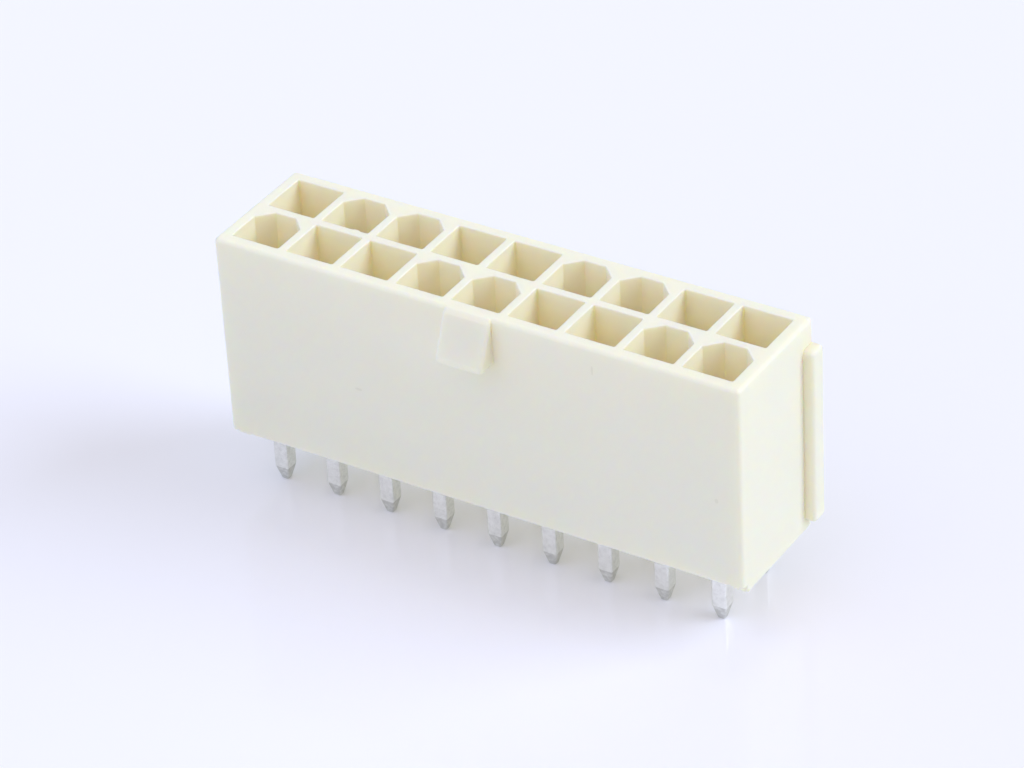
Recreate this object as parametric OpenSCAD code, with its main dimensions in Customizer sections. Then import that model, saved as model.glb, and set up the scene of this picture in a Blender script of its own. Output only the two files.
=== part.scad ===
// Dual-row vertical power header for a circuit board.
// One moulded housing holds a square terminal in every pocket. Half of the pockets have two
// cut corners, so that a plug goes in one way only, and a ramp on the front catches its latch.
// The origin is on the board surface, midway between the rows and between the ends.
// X runs along the rows, the latch side faces -Y and the plug goes in from +Z.

/* [Circuits] */
// Terminals in each row
columns = 9; // [2:1:12]
// Distance between neighbouring pockets, along the rows and across them
pitch = 4.2; // [4:0.05:4.8]
// Distance between the two rows of board tails
tail_rows = 5.5; // [4.6:0.1:6.2]

/* [Housing] */
// Height of the mating rim above the board
rim_height = 15.6; // [13.6:0.1:20]
// Inside width of a pocket, both ways
pocket_w = 3.6; // [3.2:0.05:3.8]
// Thickness of the outer walls around the pockets
outer_wall = 0.9; // [0.7:0.05:1.6]
// Thickness of the floor that holds the terminals
floor_t = 3.5; // [2.8:0.1:4.5]
// Radius of the four upright edges
upright_r = 0.35; // [0.1:0.05:0.6]
// Radius of the outer edges around the rim
rim_r = 0.3; // [0.1:0.05:0.5]
// Radius of the long bottom edges
base_r = 0.12; // [0.04:0.02:0.2]

/* [Keying] */
// Leg of the two cut corners in a keyed pocket
key_cut = 1.0; // [0.5:0.05:1.4]

/* [Latch ramp] */
// Width of the ramp along the front wall
ramp_w = 3.5; // [2:0.1:6]
// Distance from the rim down to the catch under the ramp
ramp_h = 3.45; // [2.5:0.05:6]
// How far the ramp stands out at its top
ramp_lead = 0.3; // [0.1:0.05:0.6]
// How far the ramp stands out at its catch
ramp_out = 1.45; // [0.9:0.05:2.2]
// Height of the upright land just above the catch
ramp_land = 0.5; // [0.2:0.05:1]

/* [End ribs] */
// Thickness of a rib, measured forward from the back wall's face
rib_t = 1.4; // [0.8:0.05:2.5]
// How far a rib stands out from the end wall
rib_out = 0.75; // [0.3:0.05:1.2]
// Distance from the rim down to the top of a rib
rib_drop = 1.8; // [0.6:0.1:5]
// Distance from the underside of the floor up to the foot of a rib
rib_lift = 0.25; // [0.2:0.05:3]

/* [Foot rails] */
// Gap that the rails keep between the long walls and the board
standoff = 0.6; // [0.3:0.05:1]
// Width of a rail, measured inward from the end wall's face
rail_w = 1.1; // [0.7:0.05:1.5]
// Distance from the long walls' faces to the ends of a rail
rail_setback = 0.6; // [0.4:0.05:2]

/* [Terminals] */
// Side of the square wire
wire_w = 1.07; // [0.8:0.01:1.3]
// Bevel along the wire's four long edges
wire_bevel = 0.1; // [0.05:0.01:0.2]
// Length of a tail below the board surface
tail_l = 3.7; // [2.5:0.1:6]
// Height of a contact post above the floor of its pocket
post_h = 7.5; // [5:0.1:9]
// Length of the taper at both ends of the wire
point_l = 1.1; // [0.4:0.05:1.4]
// Flat left at the end of a taper
point_w = 0.5; // [0.2:0.05:0.7]
// Distance from the underside of the floor up to the start of the bend
bend_lift = 1.1; // [0.5:0.05:1.6]
// Clearance on each side of a wire in the floor
wire_clear = 0.02; // [0.01:0.01:0.05]

/* [Hidden] */
$fn = 48;
front = -1;
back = 1;
// Overshoot of a cut past the face that it opens
cut = 0.5;
body_l = (columns - 1) * pitch + pocket_w + 2 * outer_wall;
body_d = pitch + pocket_w + 2 * outer_wall;
floor_z = standoff + floor_t;
// Depth to which the ramp and the ribs root in their walls
root = outer_wall / 2;
post_y = pitch / 2;
tail_y = tail_rows / 2;
jog = tail_y - post_y;
bend_z = standoff + bend_lift;
post_z = bend_z + jog;

function column_x(column) = (column - 1 - (columns - 1) / 2) * pitch;

// Keyed pockets alternate in pairs along a row, and the two rows are opposites.
function keyed(column, row) = (column % 4 < 2) == (row == front);

// Rectangle about the upright axis, from bottom to top, with its corners rounded.
module soft_rectangle(width, bottom, top, bottom_r, top_r) {
    translate([-width / 2, bottom + bottom_r])
        square([width, top - bottom - bottom_r - top_r]);
    translate([-width / 2 + bottom_r, bottom])
        square([width - 2 * bottom_r, 2 * bottom_r]);
    translate([-width / 2 + top_r, top - 2 * top_r])
        square([width - 2 * top_r, 2 * top_r]);
    for (side = [-1, 1]) {
        translate([side * (width / 2 - bottom_r), bottom + bottom_r])
            circle(bottom_r);
        translate([side * (width / 2 - top_r), top - top_r])
            circle(top_r);
    }
}

// Outline of a pocket about its centre; the back corners are cut on a keyed one.
module pocket_outline(is_keyed) {
    half = pocket_w / 2;
    leg = is_keyed ? key_cut : 0;
    back_edge = is_keyed
        ? [[half, half - leg], [half - leg, half], [leg - half, half], [-half, half - leg]]
        : [[half, half], [-half, half]];
    polygon(concat([[-half, -half], [half, -half]], back_edge));
}

// Profile seen from the end, in Y and Z, run along X and centred on x = 0.
module along_x(length) {
    rotate([90, 0, 90])
        linear_extrude(length, center = true)
            children();
}

// Profile seen from the front, in X and Z, run along Y and centred on y = 0.
module along_y(length) {
    rotate([90, 0, 0])
        linear_extrude(length, center = true)
            children();
}

// Solid block of the housing: what its plan, end view and front view have in common.
module body_block() {
    intersection() {
        linear_extrude(rim_height)
            soft_rectangle(body_l, -body_d / 2, body_d / 2, upright_r, upright_r);
        along_x(body_l)
            end_profile();
        along_y(body_d)
            front_profile();
    }
}

// End view: the long walls stop at the standoff, and the rails are set back below them.
module end_profile() {
    soft_rectangle(body_d, standoff, rim_height, base_r, rim_r);
    rail_d = body_d - 2 * rail_setback;
    translate([-rail_d / 2, 0])
        square([rail_d, standoff + base_r]);
}

// Front view: a rail under each end wall reaches down to the board.
module front_profile() {
    difference() {
        soft_rectangle(body_l, 0, rim_height, base_r, rim_r);
        gap = body_l - 2 * rail_w;
        translate([-gap / 2, -cut])
            square([gap, standoff + cut]);
    }
}

// Latch ramp on the front wall, with an upright land above its catch.
module latch_ramp() {
    face = body_d / 2;
    catch_z = rim_height - ramp_h;
    mirror([0, 1, 0])
        along_x(ramp_w)
            polygon([
                [face - root, catch_z],
                [face + ramp_out, catch_z],
                [face + ramp_out, catch_z + ramp_land],
                [face + ramp_lead, rim_height - rim_r],
                [face, rim_height],
                [face - root, rim_height]
            ]);
}

// Guide rib on an end wall, flush with the back wall's face.
module end_rib(side) {
    foot_z = standoff + rib_lift;
    center_x = side * (body_l / 2 + (rib_out - root) / 2);
    translate([center_x, body_d / 2 - rib_t / 2, foot_z])
        linear_extrude(rim_height - rib_drop - foot_z)
            square([rib_out + root, rib_t], center = true);
}

// Opening in the floor for one terminal of the back row. A slanted seat stops the wire's
// bend from below, and the slot under it leaves room to push the wire up.
module wire_slot() {
    side = wire_w / 2 + wire_clear;
    along_x(2 * side)
        polygon([
            [post_y - side, standoff - cut],
            [tail_y + side, standoff - cut],
            [tail_y + side, bend_z - wire_clear],
            [post_y + side, post_z - wire_clear],
            [post_y + side, floor_z + cut],
            [post_y - side, floor_z + cut]
        ]);
}

module for_row(row) {
    if (row == front)
        mirror([0, 1, 0]) children();
    else
        children();
}

// Moulded nylon shell.
module housing() {
    color("ivory")
        difference() {
            union() {
                body_block();
                latch_ramp();
                end_rib(-1);
                end_rib(1);
            }
            for (column = [1 : columns], row = [front, back])
                translate([column_x(column), 0, 0]) {
                    translate([0, row * pitch / 2, floor_z])
                        linear_extrude(rim_height - floor_z + cut)
                            pocket_outline(keyed(column, row));
                    for_row(row)
                        wire_slot();
                }
        }
}

// Square wire with bevelled edges, standing on z = 0, with a four-sided point on top.
module pointed_wire(length) {
    half = wire_w / 2;
    reach = half - wire_bevel;
    wide = wire_w - point_w / 2;
    gable = [
        [-wide, 0],
        [wide, 0],
        [wide, length - 2 * point_l],
        [point_w / 2, length],
        [-point_w / 2, length],
        [-wide, length - 2 * point_l]
    ];
    intersection() {
        linear_extrude(length)
            polygon([
                [half, -reach], [half, reach], [reach, half], [-reach, half],
                [-half, reach], [-half, -reach], [-reach, -half], [reach, -half]
            ]);
        along_x(2 * wide) polygon(gable);
        along_y(2 * wide) polygon(gable);
    }
}

// Tin-plated terminal: a contact post, a bend held in the floor and a board tail.
module terminal(column, row) {
    half = wire_w / 2;
    color("silver")
        translate([column_x(column), 0, 0])
            for_row(row) {
                translate([0, post_y, post_z])
                    pointed_wire(floor_z + post_h - post_z);
                translate([0, tail_y, bend_z])
                    rotate([180, 0, 0])
                        pointed_wire(bend_z + tail_l);
                along_x(wire_w)
                    polygon([
                        [tail_y - half, bend_z],
                        [tail_y + half, bend_z],
                        [post_y + half, post_z],
                        [post_y - half, post_z]
                    ]);
            }
}

housing();
for (column = [1 : columns]) {
    terminal(column, front);
    terminal(column, back);
}
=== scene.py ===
import math

import bmesh
import bpy
from mathutils import Matrix, Vector


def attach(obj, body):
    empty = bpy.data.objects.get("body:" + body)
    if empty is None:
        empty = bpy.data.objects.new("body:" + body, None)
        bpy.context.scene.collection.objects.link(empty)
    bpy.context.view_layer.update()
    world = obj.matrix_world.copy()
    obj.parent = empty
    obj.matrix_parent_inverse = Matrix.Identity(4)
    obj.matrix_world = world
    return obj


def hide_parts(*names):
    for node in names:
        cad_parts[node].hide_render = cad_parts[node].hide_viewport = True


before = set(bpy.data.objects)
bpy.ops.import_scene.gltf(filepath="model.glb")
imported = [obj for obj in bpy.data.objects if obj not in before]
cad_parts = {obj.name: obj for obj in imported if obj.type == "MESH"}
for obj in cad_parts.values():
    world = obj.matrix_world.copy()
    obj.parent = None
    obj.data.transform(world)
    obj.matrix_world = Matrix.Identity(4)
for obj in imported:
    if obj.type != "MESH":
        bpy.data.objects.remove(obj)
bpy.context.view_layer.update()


# Housing. One shot of cream nylon: a tall box with two rows of deep pockets, a solid floor under
# them, a latch ramp on the front wall, a guide rib on each end and a foot rail under each end.
# The core pins of the mould leave the pockets, and the mould leaves softly rounded edges.

# Sizes in the housing and the terminals are in millimetres, and become metres in the meshes.
mm = 0.001
columns = 9
pitch = 4.2
pocket_w = 3.6
outer_wall = 0.9
half_l = ((columns - 1) * pitch + pocket_w + 2 * outer_wall) / 2
half_d = (pitch + pocket_w + 2 * outer_wall) / 2
standoff = 0.6
floor_t = 3.5
floor_z = standoff + floor_t
rim_z = 15.6
upright_r = 0.35
rim_r = 0.3
base_r = 0.12
least_r = 0.02
weld = 1e-7


def outline(corners, inset=0.0, steps=4):
    """Points of a convex outline of (x, y, radius) corners, moved inwards by inset and rounded."""
    points = []
    for k, (x, y, r) in enumerate(corners):
        here = Vector((x, y))
        into = (here - Vector(corners[k - 1][:2])).normalized()
        out = (Vector(corners[(k + 1) % len(corners)][:2]) - here).normalized()
        turn = into.angle_signed(out) * -1
        normal = Vector((-into.y, into.x))
        bisector = (normal + Vector((-out.y, out.x))).normalized()
        radius = max(r - inset, least_r)
        centre = here + bisector * ((inset + radius) / math.cos(turn / 2))
        for s in range(steps + 1):
            points.append(centre - Matrix.Rotation(turn * s / steps, 2) @ normal * radius)
    return points


def rectangle(x0, x1, y0, y1, r):
    return [(x0, y0, r), (x1, y0, r), (x1, y1, r), (x0, y1, r)]


def rounded_levels(bottom, top, bottom_r, top_r, steps=4):
    """(height, inset) of each ring of an upright block with rounded bottom and top edges."""
    turns = [math.pi / 2 * s / steps for s in range(steps + 1)]
    low = [(bottom + bottom_r * (1 - math.cos(a)), bottom_r * (1 - math.sin(a))) for a in turns]
    high = [(top - top_r * (1 - math.sin(a)), top_r * (1 - math.cos(a))) for a in turns]
    return low + high


def place(name, data):
    """Puts a mesh, a lamp or a camera into the scene, at the origin."""
    thing = bpy.data.objects.new(name, data)
    bpy.context.scene.collection.objects.link(thing)
    return thing


def loft(name, rings):
    """Closed skin over a stack of rings in millimetres, with a flat cap at each end."""
    bm = bmesh.new()
    loops = [[bm.verts.new(Vector(p) * mm) for p in ring] for ring in rings]
    count = len(rings[0])
    for low, high in zip(loops, loops[1:]):
        for k in range(count):
            bm.faces.new((low[k], low[(k + 1) % count], high[(k + 1) % count], high[k]))
    bm.faces.new(reversed(loops[0]))
    bm.faces.new(loops[-1])
    bmesh.ops.remove_doubles(bm, verts=bm.verts, dist=weld)
    bmesh.ops.recalc_face_normals(bm, faces=bm.faces)
    mesh = bpy.data.meshes.new(name)
    bm.to_mesh(mesh)
    bm.free()
    return place(name, mesh)


def upright(name, plan, levels, steps):
    """Block standing on its plan, with the plan drawn in by each level's inset."""
    rings = []
    for z, inset in levels:
        rings.append([(p.x, p.y, z) for p in outline(plan, inset, steps)])
    return loft(name, rings)


shell = upright(
    "housing_shell",
    rectangle(-half_l, half_l, -half_d, half_d, upright_r),
    rounded_levels(standoff, rim_z, base_r, rim_r, steps=5),
    steps=5,
)

# A rail under each end keeps the long walls off the board, and a rib guides the plug. Both reach
# into the wall that carries them.
root = outer_wall / 2
rail_w = 1.1
rail_setback = 0.6
rail_root = 0.4
rail_end = half_d - rail_setback
rib_t = 1.4
rib_out = 0.75
rib_drop = 1.8
rib_lift = 0.25
rib_r = 0.28
rib_foot_r = 0.16
additions = []
for side in (-1, 1):
    inner, outer = sorted((side * (half_l - rail_w), side * half_l))
    additions.append(upright(
        "foot_rail",
        rectangle(inner, outer, -rail_end, rail_end, base_r),
        rounded_levels(0, standoff + rail_root, base_r, base_r, steps=3),
        steps=3,
    ))
    inner, outer = sorted((side * (half_l - root), side * (half_l + rib_out)))
    additions.append(upright(
        "end_rib",
        rectangle(inner, outer, half_d - rib_t, half_d, rib_r),
        rounded_levels(standoff + rib_lift, rim_z - rib_drop, rib_foot_r, rib_r, steps=3),
        steps=3,
    ))

# Latch ramp: its side view, run across the middle of the front wall with rounded flanks.
ramp_w = 3.5
ramp_h = 3.45
ramp_out = 1.45
ramp_lead = 0.3
ramp_land = 0.5
ramp_flank_r = 0.28
ramp_catch_r = 0.16
ramp_land_r = 0.3
ramp_lead_r = 0.4
ramp_rim_r = 0.25
catch_z = rim_z - ramp_h
ramp_profile = [
    (-half_d - ramp_out, catch_z, ramp_catch_r),
    (-half_d + root, catch_z, least_r),
    (-half_d + root, rim_z, least_r),
    (-half_d, rim_z, ramp_rim_r),
    (-half_d - ramp_lead, rim_z - rim_r, ramp_lead_r),
    (-half_d - ramp_out, catch_z + ramp_land, ramp_land_r),
]
ramp_slices = []
for x, inset in rounded_levels(-ramp_w / 2, ramp_w / 2, ramp_flank_r, ramp_flank_r):
    ramp_slices.append([(x, p.x, p.y) for p in outline(ramp_profile, inset)])
additions.append(loft("latch_ramp", ramp_slices))


def connect(tree, node, inputs):
    """Sets each named or numbered input of a node, or links it where it is given an output."""
    for key, value in inputs.items():
        for item in value if isinstance(value, list) else [value]:
            if isinstance(item, bpy.types.NodeSocket):
                tree.links.new(item, node.inputs[key])
            else:
                node.inputs[key].default_value = item


def add_node(tree, kind, inputs=None, output=0, **settings):
    """Adds a node with its settings and inputs, and gives one of its outputs."""
    node = tree.nodes.new(kind)
    for key, value in settings.items():
        setattr(node, key, value)
    connect(tree, node, inputs or {})
    return node.outputs[output]


def calculate(tree, operation, a, b):
    return add_node(tree, "ShaderNodeMath", {0: a, 1: b}, operation=operation)


def noise(tree, where, scale, detail, roughness=0.5):
    return add_node(tree, "ShaderNodeTexNoise", {
        "Vector": where, "Scale": scale, "Detail": detail, "Roughness": roughness,
    }, "Fac")


def spot(tree, where, centre, half_sizes):
    """1 at the heart of a spot given in millimetres, fading to 0 at its half sizes."""
    local = add_node(tree, "ShaderNodeMapping", {
        "Vector": where, "Location": Vector(centre) * mm, "Scale": Vector(half_sizes) * mm,
    }, vector_type="TEXTURE")
    away = add_node(tree, "ShaderNodeVectorMath", {0: local}, "Value", operation="LENGTH")
    heart = 0.4
    return add_node(tree, "ShaderNodeMapRange", {"Value": away, "From Min": 1.0, "From Max": heart})


def shades(tree, value, first, middle, last):
    """Colour for a value from 0 to 1, between three stops of (place, colour)."""
    node = tree.nodes.new("ShaderNodeValToRGB")
    ramp = node.color_ramp
    ramp.elements[0].position, ramp.elements[0].color = first
    ramp.elements[1].position, ramp.elements[1].color = last
    ramp.elements.new(middle[0]).color = middle[1]
    connect(tree, node, {"Fac": value})
    return node.outputs["Color"]


def new_finish(name):
    """A new material, with its node tree and its shader."""
    finish = bpy.data.materials.new(name)
    finish.use_nodes = True
    return finish, finish.node_tree, finish.node_tree.nodes["Principled BSDF"]


# Nylon: natural cream, slightly translucent, with the fine spark-eroded grain of the mould,
# faint flow clouds and the three small marks that this piece has picked up on its front wall.
mark_depth = 0.3
marks = (
    ((9.05, -half_d, 13.97), (0.09, mark_depth, 0.42)),
    ((17.74, -half_d, 6.91), (0.16, mark_depth, 0.2)),
    ((-8.85, -half_d, 7.07), (0.34, mark_depth, 0.12)),
)
marked_cream = (0.92, 0.855, 0.642, 1)
cream = (0.986, 0.913, 0.695, 1)
pale_cream = (0.994, 0.928, 0.72, 1)
cloud_scale = 160
grain_scale = 7000
nylon, paint, skin = new_finish("cream_nylon")
place_on_skin = add_node(paint, "ShaderNodeTexCoord", output="Object")
clouds = noise(paint, place_on_skin, cloud_scale, detail=3)
for centre, half_sizes in marks:
    clouds = calculate(paint, "SUBTRACT", clouds, spot(paint, place_on_skin, centre, half_sizes))
grain = noise(paint, place_on_skin, grain_scale, detail=3, roughness=0.6)
connect(paint, skin, {
    "Base Color": shades(paint, clouds, (0.0, marked_cream), (0.2, cream), (0.7, pale_cream)),
    "Roughness": 0.42,
    "Specular IOR Level": 0.65,
    "Subsurface Weight": 1.0,
    "Subsurface Radius": (1.0, 0.85, 0.5),
    "Subsurface Scale": 0.0007,
    "Normal": add_node(paint, "ShaderNodeBump", {
        "Height": grain, "Strength": 0.12, "Distance": 0.00003,
    }),
})
shell.data.materials.append(nylon)


def settle(thing):
    """Keeps what its modifiers make of a thing as its own plain mesh."""
    thing.update_tag()
    bpy.context.view_layer.update()
    graph = bpy.context.evaluated_depsgraph_get()
    thing.data = bpy.data.meshes.new_from_object(thing.evaluated_get(graph), depsgraph=graph)
    thing.data.name = thing.name
    thing.modifiers.clear()


def unite(thing, additions):
    """Makes one closed skin of a thing and its additions, which are used up."""
    for addition in additions:
        merge = thing.modifiers.new("merge", "BOOLEAN")
        merge.operation = "UNION"
        merge.solver = "EXACT"
        merge.object = addition
    settle(thing)
    for addition in additions:
        bpy.data.objects.remove(addition)


unite(shell, additions)

# Core pins of the mould: a plain pocket and a keyed one with two cut corners, both with slightly
# flared mouths, and the slot in the floor that a terminal is pushed up into until its bend seats.
half_p = pocket_w / 2
key_cut = 1.0
pocket_r = 0.12
plain_plan = rectangle(-half_p, half_p, -half_p, half_p, pocket_r)
keyed_plan = [
    (-half_p, -half_p, pocket_r),
    (half_p, -half_p, pocket_r),
    (half_p, half_p - key_cut, pocket_r),
    (half_p - key_cut, half_p, pocket_r),
    (key_cut - half_p, half_p, pocket_r),
    (-half_p, half_p - key_cut, pocket_r),
]
mouth_r = 0.09
mouth_steps = 4
turn_at_rim = math.radians(70)
turn_past_rim = 1.12
pin_over = 1
mouth_z = rim_z - mouth_r * math.sin(turn_at_rim)
pocket_levels = [(floor_z, 0.0)]
for s in range(mouth_steps + 1):
    turn = turn_at_rim * turn_past_rim * s / mouth_steps
    pocket_levels.append((mouth_z + mouth_r * math.sin(turn), mouth_r * (math.cos(turn) - 1)))
widest_inset = pocket_levels[-1][1]
pocket_levels.append((rim_z + pin_over, widest_inset))
plain_core = upright("plain_core", plain_plan, pocket_levels, steps=3)
keyed_core = upright("keyed_core", keyed_plan, pocket_levels, steps=3)

wire_w = 1.07
wire_clear = 0.02
tail_rows = 5.5
bend_lift = 1.1
slot_over = 0.5
post_y = pitch / 2
tail_y = tail_rows / 2
bend_z = standoff + bend_lift
post_z = bend_z + tail_y - post_y
slot_half = wire_w / 2 + wire_clear
slot_profile = [
    (post_y - slot_half, standoff - slot_over),
    (tail_y + slot_half, standoff - slot_over),
    (tail_y + slot_half, bend_z - wire_clear),
    (post_y + slot_half, post_z - wire_clear),
    (post_y + slot_half, floor_z + slot_over),
    (post_y - slot_half, floor_z + slot_over),
]
slot_sides = (-slot_half, slot_half)
wire_core = loft("wire_core", [[(x, y, z) for y, z in slot_profile] for x in slot_sides])


def new_tree(name, kinds):
    """A geometry node tree with an input of each named kind, and those inputs by name."""
    tree = bpy.data.node_groups.new(name, "GeometryNodeTree")
    for label, kind in kinds.items():
        tree.interface.new_socket(label, in_out="INPUT", socket_type="NodeSocket" + kind)
    tree.interface.new_socket("Geometry", in_out="OUTPUT", socket_type="NodeSocketGeometry")
    return tree, tree.nodes.new("NodeGroupInput").outputs


def line_of_points(tree, count, spacing):
    """Evenly spaced points along X, centred on the middle."""
    gaps = calculate(tree, "SUBTRACT", count, 1.0)
    first = calculate(tree, "MULTIPLY", calculate(tree, "MULTIPLY", gaps, -0.5), spacing)
    return add_node(tree, "GeometryNodeMeshLine", {
        "Count": count,
        "Start Location": add_node(tree, "ShaderNodeCombineXYZ", {"X": first}),
        "Offset": add_node(tree, "ShaderNodeCombineXYZ", {"X": spacing}),
    })


def run_tree(thing, tree, given, result, values):
    """Ends a tree with its result in its finish, and makes a thing's plain mesh with it."""
    whole = add_node(tree, "GeometryNodeRealizeInstances", {"Geometry": result})
    dressed = add_node(tree, "GeometryNodeSetMaterial", {
        "Geometry": whole, "Material": given["Finish"],
    })
    connect(tree, tree.nodes.new("NodeGroupOutput"), {0: dressed})
    modifier = thing.modifiers.new(tree.name, "NODES")
    modifier.node_group = tree
    for socket in tree.interface.items_tree:
        if socket.in_out == "INPUT" and socket.name in values:
            modifier[socket.identifier] = values[socket.name]
    settle(thing)


# Keyed pockets alternate with plain ones in pairs along a row, and the two rows are opposites.
# Below them, a slot of the front row is a slot of the back row turned half round.
tree, given = new_tree("pocket_grid", {
    "Geometry": "Geometry",
    "Columns": "Int",
    "Pitch": "Float",
    "Plain Core": "Object",
    "Keyed Core": "Object",
    "Wire Core": "Object",
    "Finish": "Material",
})
middle_line = line_of_points(tree, given["Columns"], given["Pitch"])
pair = 2.0
column = calculate(tree, "ADD", add_node(tree, "GeometryNodeInputIndex"), 1.0)
in_pair = calculate(tree, "LESS_THAN", calculate(tree, "MODULO", column, 2 * pair), pair)
out_of_pair = calculate(tree, "SUBTRACT", 1.0, in_pair)
core = {}
for label in ("Plain Core", "Keyed Core", "Wire Core"):
    core[label] = add_node(tree, "GeometryNodeObjectInfo", {"Object": given[label]}, "Geometry")
pockets = []
slots = []
front = -1
back = 1
for row, keyed, plain, half_turn in (
    (front, in_pair, out_of_pair, math.pi),
    (back, out_of_pair, in_pair, 0),
):
    row_y = calculate(tree, "MULTIPLY", given["Pitch"], row / 2)
    row_line = add_node(tree, "GeometryNodeSetPosition", {
        "Geometry": middle_line,
        "Offset": add_node(tree, "ShaderNodeCombineXYZ", {"Y": row_y}),
    })
    for label, chosen in (("Keyed Core", keyed), ("Plain Core", plain)):
        pockets.append(add_node(tree, "GeometryNodeInstanceOnPoints", {
            "Points": row_line, "Selection": chosen, "Instance": core[label],
        }))
    slots.append(add_node(tree, "GeometryNodeInstanceOnPoints", {
        "Points": middle_line, "Instance": core["Wire Core"], "Rotation": (0, 0, half_turn),
    }))
cuts = []
for pins in (pockets, slots):
    joined = add_node(tree, "GeometryNodeJoinGeometry", {"Geometry": pins})
    cuts.append(add_node(tree, "GeometryNodeRealizeInstances", {"Geometry": joined}))
bored = add_node(
    tree, "GeometryNodeMeshBoolean", {0: given["Geometry"], 1: cuts},
    operation="DIFFERENCE", solver="EXACT",
)
run_tree(shell, tree, given, bored, {
    "Columns": columns,
    "Pitch": pitch * mm,
    "Plain Core": plain_core,
    "Keyed Core": keyed_core,
    "Wire Core": wire_core,
    "Finish": nylon,
})
for spent in (plain_core, keyed_core, wire_core):
    bpy.data.objects.remove(spent)

# A burr left on the middle wall, at the front edge of the second back pocket.
burr_x = (-11.95, -11.4)
burr_y = (0.1, 0.42)
burr_h = 0.4
burr_r = 0.14
burr_foot_r = 0.1
burr_top_r = 0.12
burr = upright(
    "burr",
    rectangle(*burr_x, *burr_y, burr_r),
    rounded_levels(rim_z - burr_h, rim_z, burr_foot_r, burr_top_r, steps=3),
    steps=3,
)
unite(shell, [burr])


def soft_shading(thing, sharpest):
    """Smooth shading over edges that turn less than sharpest degrees, with wide faces kept flat."""
    bm = bmesh.new()
    bm.from_mesh(thing.data)
    bmesh.ops.remove_doubles(bm, verts=bm.verts, dist=weld)
    bmesh.ops.dissolve_degenerate(bm, edges=bm.edges, dist=weld)
    limit = math.radians(sharpest)
    for face in bm.faces:
        face.smooth = True
    for edge in bm.edges:
        edge.smooth = len(edge.link_faces) == 2 and edge.calc_face_angle(0) < limit
    bm.to_mesh(thing.data)
    bm.free()
    weighted = thing.modifiers.new("flat_faces", "WEIGHTED_NORMAL")
    weighted.keep_sharp = True
    weighted.weight = 100


soft_shading(shell, sharpest=40)
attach(shell, "root")
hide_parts("housing")


# Terminals. Square brass wire, tin plated, pointed at both ends and bent once: the bend seats in
# the floor, the post stands in its pocket and the tail reaches down through the board.
# The front row is the back row's terminal turned half round.

wire_r = 0.12
tail_l = 3.7
post_h = 7.5
tail_tip = -tail_l
post_tip = floor_z + post_h
half_w = wire_w / 2
point_l = 1.1
point_w = 0.5
half_tip = point_w / 2
nose_r = 0.05
nose_bow = nose_r * 0.3
# Half width of the wire at each distance from a tip: a blunt nose, then the taper.
point = (
    (0, half_tip - nose_r),
    (nose_bow, half_tip - nose_bow),
    (nose_r, half_tip + nose_bow),
    (point_l, half_w),
)


def wire_ring(z, y, half):
    """Section of the wire, with its edges rounded as far as its width allows."""
    plan = rectangle(-half, half, y - half, y + half, min(wire_r, half * 0.5))
    return [(p.x, p.y, z) for p in outline(plan, steps=7)]


rings = [wire_ring(tail_tip + along, tail_y, half) for along, half in point]
rings.append(wire_ring(bend_z, tail_y, half_w))
rings.append(wire_ring(post_z, post_y, half_w))
rings += [wire_ring(post_tip - along, post_y, half) for along, half in reversed(point)]
terminals = loft("terminals", rings)

# Tin plate: satin grey with drawing streaks along the wire and a slightly uneven sheen, with
# painted shade on the tapered points, standing in for the shaded table that their facets reflect.
shaded_point_tin = (0.60, 0.605, 0.57, 1)
grey_tin = (0.77, 0.78, 0.74, 1)
bright_tin = (0.88, 0.89, 0.85, 1)
streak_scale = 9000
streak_length = 0.06
speckle_scale = 3500
painted_point_shade = 0.42
point_shade_border = 0.03
tin, plate, metal = new_finish("tin_plate")
place_on_wire = add_node(plate, "ShaderNodeTexCoord", output="Object")
drawn_out = add_node(plate, "ShaderNodeMapping", {
    "Vector": place_on_wire, "Scale": (1, 1, streak_length),
})
streaks = noise(plate, drawn_out, streak_scale, detail=4, roughness=0.6)
height = add_node(plate, "ShaderNodeSeparateXYZ", {"Vector": place_on_wire}, "Z")
speckle_and_point_shade = noise(plate, place_on_wire, speckle_scale, detail=2)
# Painted shade: each tapered point is made darker, standing in for the dark table its facets
# reflect.
for root_z, tip_z in ((tail_tip + point_l, tail_tip), (post_tip - point_l, post_tip)):
    point_shade = add_node(plate, "ShaderNodeMapRange", {
        "Value": height,
        "From Min": root_z * mm,
        "From Max": (root_z * (1 - point_shade_border) + tip_z * point_shade_border) * mm,
        "To Max": painted_point_shade,
    })
    speckle_and_point_shade = calculate(plate, "SUBTRACT", speckle_and_point_shade, point_shade)
connect(plate, metal, {
    "Base Color": shades(plate, speckle_and_point_shade, (0.0, shaded_point_tin), (0.3, grey_tin), (0.65, bright_tin)),
    "Metallic": 1.0,
    "Roughness": add_node(plate, "ShaderNodeMapRange", {
        "Value": streaks, "To Min": 0.14, "To Max": 0.28,
    }),
    "Normal": add_node(plate, "ShaderNodeBump", {
        "Height": streaks, "Strength": 0.15, "Distance": 0.00002,
    }),
})
terminals.data.materials.append(tin)

tree, given = new_tree("terminal_rows", {
    "Geometry": "Geometry",
    "Columns": "Int",
    "Pitch": "Float",
    "Finish": "Material",
})
middle_line = line_of_points(tree, given["Columns"], given["Pitch"])
rows = []
for half_turn in (0, math.pi):
    rows.append(add_node(tree, "GeometryNodeInstanceOnPoints", {
        "Points": middle_line, "Instance": given["Geometry"], "Rotation": (0, 0, half_turn),
    }))
both_rows = add_node(tree, "GeometryNodeJoinGeometry", {"Geometry": rows})
run_tree(terminals, tree, given, both_rows, {
    "Columns": columns,
    "Pitch": pitch * mm,
    "Finish": tin,
})
soft_shading(terminals, sharpest=16)
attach(terminals, "root")
nodes = [f"terminal_{row}_{k}" for row in ("front", "back") for k in range(1, columns + 1)]
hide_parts(*nodes)


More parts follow.
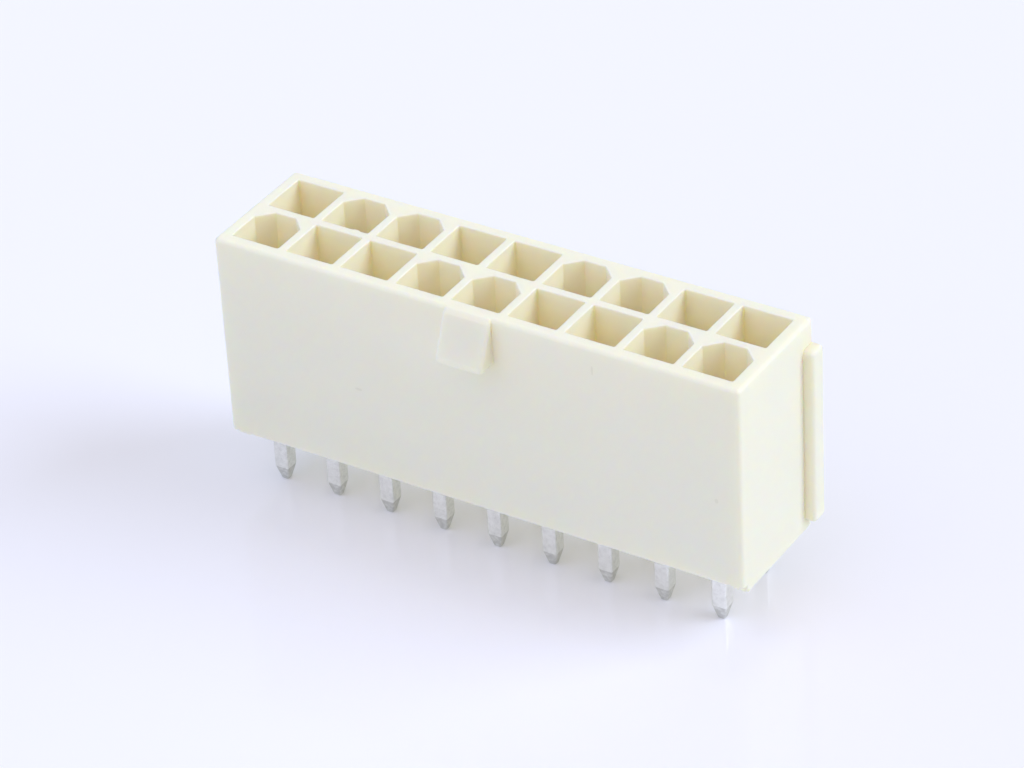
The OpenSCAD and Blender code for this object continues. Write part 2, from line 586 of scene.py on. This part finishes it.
# Studio. A wide glossy white table under the points of the tails, with a warm softbox overhead,
# cool ones at the front left and the left, and a broad soft lamp from the right and behind.
# The camera, the metal and the gloss see plain white walls.

table_z = tail_tip * mm
reach = 4.0
table_top = bpy.data.meshes.new("table")
corners = [(-reach, -reach), (reach, -reach), (reach, reach), (-reach, reach)]
table_top.from_pydata([(x, y, table_z) for x, y in corners], [], [(0, 1, 2, 3)])
table = place("table", table_top)
# The table glows faintly and warmly: painted light that lifts its shadows and warms the shade under
# the housing.
white, table_tree, table_gloss = new_finish("white_table")
connect(table_tree, table_gloss, {
    "Base Color": (0.731, 0.745, 0.807, 1),
    "Emission Color": (1.0, 1.0, 0.88, 1),
    "Emission Strength": 0.165,
    "Roughness": 0.1,
})
table_top.materials.append(white)

# Where each softbox shines from, how fast it falls off around that, and its colour.
softboxes = (
    ((0.0, 0.0, 1.0), 2.0, (0.73, 0.565, 0.28, 1)),
    ((-0.3, -0.73, 0.61), 1.5, (0.75, 0.73, 1.10, 1)),
    ((-0.94, 0.0, 0.34), 1.5, (0.16, 0.42, 0.75, 1)),
)
wall_white = (0.896, 0.922, 1.0, 1)
world = bpy.data.worlds.new("studio")
bpy.context.scene.world = world
world.use_nodes = True
dome = world.node_tree
walls = dome.nodes["Background"]
connect(dome, walls, {"Color": wall_white})
around = add_node(dome, "ShaderNodeTexCoord", output="Generated")
glow = add_node(dome, "ShaderNodeBackground", {"Strength": 0.0})
for aim, falloff, colour in softboxes:
    facing = add_node(
        dome, "ShaderNodeVectorMath", {0: around, 1: aim}, "Value", operation="DOT_PRODUCT",
    )
    strength = calculate(dome, "POWER", calculate(dome, "MAXIMUM", facing, 0.0), falloff)
    softbox = add_node(dome, "ShaderNodeBackground", {"Color": colour, "Strength": strength})
    glow = add_node(dome, "ShaderNodeAddShader", {0: glow, 1: softbox})
sees_walls = add_node(dome, "ShaderNodeLightPath", output="Is Camera Ray")
for kind in ("Is Glossy Ray", "Is Transmission Ray"):
    ray = add_node(dome, "ShaderNodeLightPath", output=kind)
    sees_walls = calculate(dome, "MAXIMUM", sees_walls, ray)
white_walls = walls.outputs["Background"]
shown = add_node(dome, "ShaderNodeMixShader", {0: sees_walls, 1: glow, 2: white_walls})
connect(dome, dome.nodes["World Output"], {"Surface": shown})

lamp = bpy.data.lights.new("soft_lamp", "SUN")
lamp.energy = 1.88
lamp.angle = math.radians(42)
lamp.color = (0.88, 0.96, 1.2)
lamp_from = Vector((0.74, 0.37, 0.56))
place("soft_lamp", lamp).rotation_euler = lamp_from.to_track_quat("Z", "Y").to_euler()

# The camera stands to the right of the front and above the rim, as in the photograph. Its three
# axes and its stand were solved on the grid of pockets and the outline.
camera = bpy.data.cameras.new("camera")
camera.sensor_width = 36
camera.lens = 154.49
camera.clip_start = 0.01
camera.clip_end = 20
across = Vector((0.85189, 0.52155, -0.04761))
above = Vector((-0.25612, 0.49418, 0.83077))
behind = Vector((0.45682, -0.69553, 0.55457))
stand = Vector((129.795, -197.760, 149.405 + rim_z)) * mm
turned = Matrix((across, above, behind)).transposed().to_4x4()
camera_thing = place("camera", camera)
camera_thing.matrix_world = Matrix.Translation(stand) @ turned
bpy.context.scene.camera = camera_thing
bpy.context.scene.view_settings.view_transform = "Standard"
# Light bounces many times in the deep pale pockets.
bpy.context.scene.cycles.max_bounces = 24
bpy.context.scene.cycles.diffuse_bounces = 20
